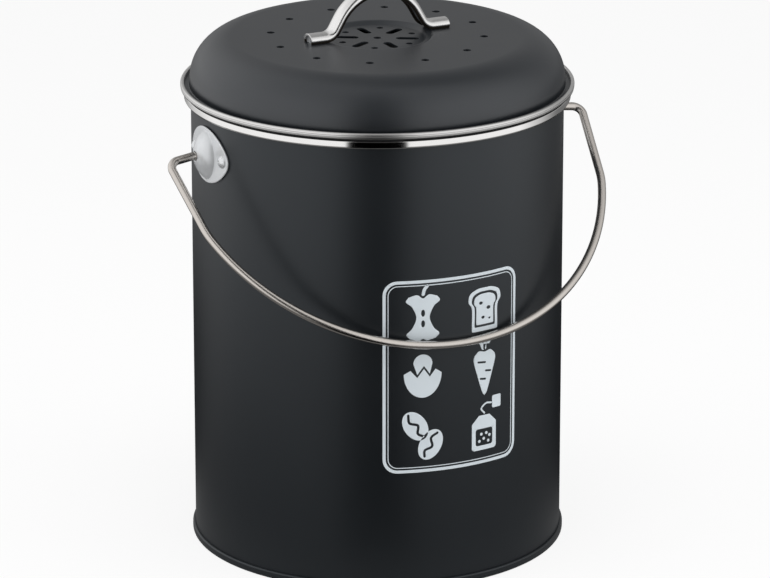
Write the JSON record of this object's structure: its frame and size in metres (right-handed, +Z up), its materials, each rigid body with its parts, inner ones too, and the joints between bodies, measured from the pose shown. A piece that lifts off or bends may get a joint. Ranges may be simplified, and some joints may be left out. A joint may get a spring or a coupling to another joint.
{
  "type": "compost caddy",
  "caption": "Round steel countertop compost caddy with a wire bail, a lift-out liner and a vented lift-off lid that holds a charcoal filter.",
  "frame": {"origin": "on the floor, at the middle of the bin's foot", "axes": "+Z up along the bin's axis, +X through the two ears, -Y to the front, where the bail rests"},
  "size_m": [0.2248, 0.19, 0.2754],
  "materials": {
    "black_powder_coat": "satin matte black powder coat on steel sheet",
    "black_lid_coat": "satin matte black powder coat on steel sheet",
    "polished_rim": "polished bright steel",
    "zinc_ear": "bright zinc-plated pressed steel",
    "rivet_steel": "bright plated rivet steel",
    "bail_wire": "bright drawn wire with a warm nickel tone",
    "liner_plastic": "fine-textured dark grey moulded plastic",
    "seal_rubber": "matte silicone",
    "handle_steel": "satin polished steel strip",
    "fastener_steel": "plain zinc-plated steel",
    "filter_plastic": "dark grey moulded plastic",
    "charcoal_felt": "black carbon-loaded felt"
  },
  "bodies": {
    "bin": {"bin_wall": "black_powder_coat", "base_pan": "black_powder_coat", "rim_band": "polished_rim", "left_ear": "zinc_ear", "right_ear": "zinc_ear", "left_ear_rivets": "rivet_steel", "right_ear_rivets": "rivet_steel"},
    "bail": {"bail": "bail_wire"},
    "liner": {"liner_bucket": "liner_plastic"},
    "lid": {"lid_shell": "black_lid_coat", "lid_edge_ring": "polished_rim", "lid_inner_ring": "black_lid_coat", "lid_skirt": "black_lid_coat", "lid_seal": "seal_rubber", "lid_handle": "handle_steel", "lid_handle_studs": "fastener_steel", "lid_handle_washers": "fastener_steel", "lid_handle_nuts": "fastener_steel", "filter_collar": "filter_plastic"},
    "filter": {"filter_tray": "filter_plastic", "charcoal_filter": "charcoal_felt"}
  },
  "joints": [
    {"name": "bail_swing", "type": "hinge", "parent": "bin", "child": "bail", "pos_m": [0, 0, 0.2026], "axis": [-1, 0, 0], "range_deg": [0, 261]},
    {"name": "liner_lift", "type": "slide", "parent": "bin", "child": "liner", "axis": [0, 0, 1], "range_m": [0, 0.23]},
    {"name": "lid_lift", "type": "slide", "parent": "liner", "child": "lid", "axis": [0, 0, 1], "range_m": [0, 0.08]},
    {"name": "filter_drop", "type": "slide", "parent": "lid", "child": "filter", "axis": [0, 0, -1], "range_m": [0, 0.02]}
  ]
}
